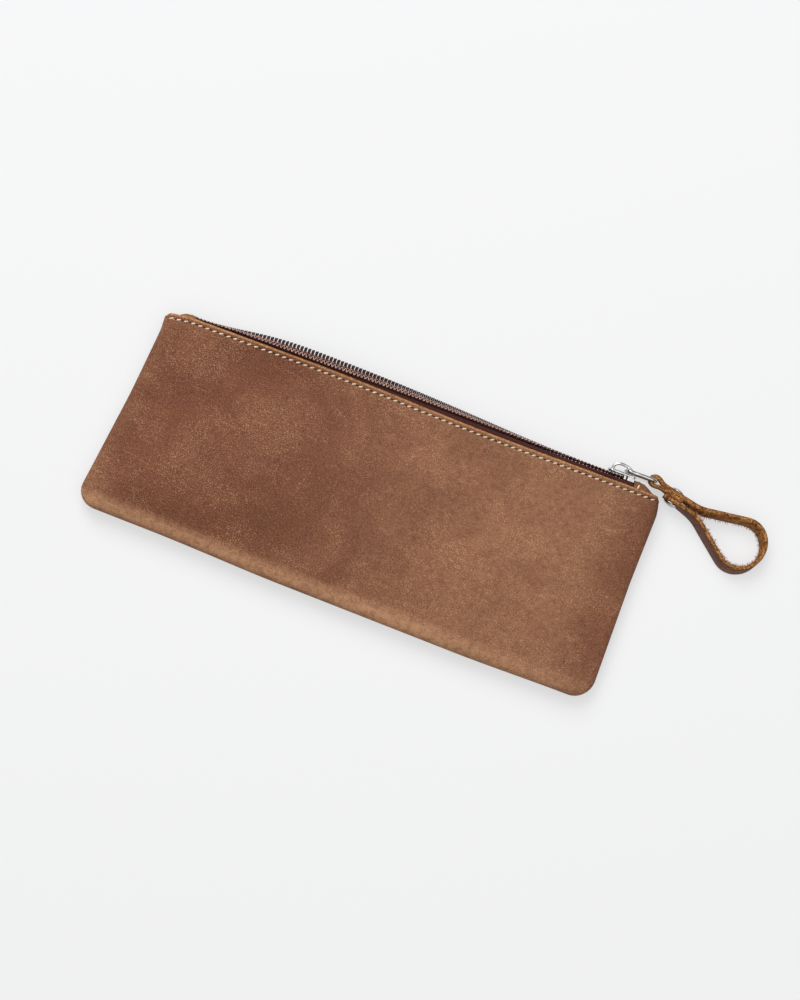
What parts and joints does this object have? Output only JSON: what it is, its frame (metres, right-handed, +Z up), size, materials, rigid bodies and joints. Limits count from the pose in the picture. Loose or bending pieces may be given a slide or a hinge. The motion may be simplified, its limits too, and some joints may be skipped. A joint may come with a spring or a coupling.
{
  "type": "zipped leather pen case",
  "caption": "Flat oiled-leather pen case with turned side seams, an open coil zip along its long mouth and a riveted leather loop on the zip's pull ring.",
  "frame": {"origin": "middle of the back panel's flat resting face", "axes": "+X along the zip towards the open end's slider, +Y from the base to the zip mouth, +Z up through the front panel"},
  "size_m": [0.2873, 0.1016, 0.0153],
  "materials": {
    "case_leather": "waxed pull-up leather, matte brown with pale rub marks",
    "tab_leather": "matte brown leather with raw tan edges",
    "strap_leather": "brown grain side, raw golden tan flesh side and edges",
    "thread": "waxed cream sewing thread",
    "zip_tape": "dark plum brown woven tape",
    "zip_coil": "dark brown nylon coil",
    "slider_metal": "polished nickel plate",
    "ring_metal": "polished nickel plate",
    "rivet_metal": "polished nickel plate"
  },
  "bodies": {
    "case": {"front_panel": "case_leather", "back_panel": "case_leather", "front_stitching": "thread", "back_stitching": "thread", "side_seam_stitching": "thread", "left_end_tab": "tab_leather", "right_end_tab": "tab_leather", "left_tab_stitching": "thread", "right_tab_stitching": "thread"},
    "front_stringer": {"front_zip_tape": "zip_tape", "front_zip_coil": "zip_coil"},
    "back_stringer": {"back_zip_tape": "zip_tape", "back_zip_coil": "zip_coil"},
    "slider": {"zip_slider": "slider_metal"},
    "pull": {"pull_ring": "ring_metal"},
    "strap": {"pull_strap": "strap_leather", "rivet_post": "rivet_metal", "rivet_cap": "rivet_metal"}
  },
  "joints": [
    {"name": "slider_slide", "type": "slide", "parent": "case", "child": "slider", "axis": [-1, 0, 0], "range_m": [0, 0.1905], "deforming": ["pull_strap", "rivet_post", "rivet_cap"]},
    {"name": "front_stringer_close", "type": "hinge", "parent": "case", "child": "front_stringer", "pos_m": [0, 0.0481, 0.01125], "axis": [-1, 0, 0], "range_deg": [0, 69], "deforming": ["front_zip_tape", "front_zip_coil"]},
    {"name": "back_stringer_close", "type": "hinge", "parent": "case", "child": "back_stringer", "pos_m": [0, 0.0481, 0.00165], "axis": [1, 0, 0], "range_deg": [0, 69], "deforming": ["back_zip_tape", "back_zip_coil"]},
    {"name": "pull_pivot", "type": "hinge", "parent": "slider", "child": "pull", "pos_m": [0.0973, 0.05275, 0.00645], "axis": [0, 0, 1], "range_deg": [0, 165]},
    {"name": "strap_swing", "type": "hinge", "parent": "pull", "child": "strap", "pos_m": [0.1102, 0.05275, 0.00645], "axis": [0, 0, 1], "range_deg": [-5, 75]}
  ],
  "couplings": [
    {"joint": "front_stringer_close", "follows": "slider_slide", "rad_per_m": 6.3153},
    {"joint": "back_stringer_close", "follows": "slider_slide", "rad_per_m": 6.3153}
  ]
}
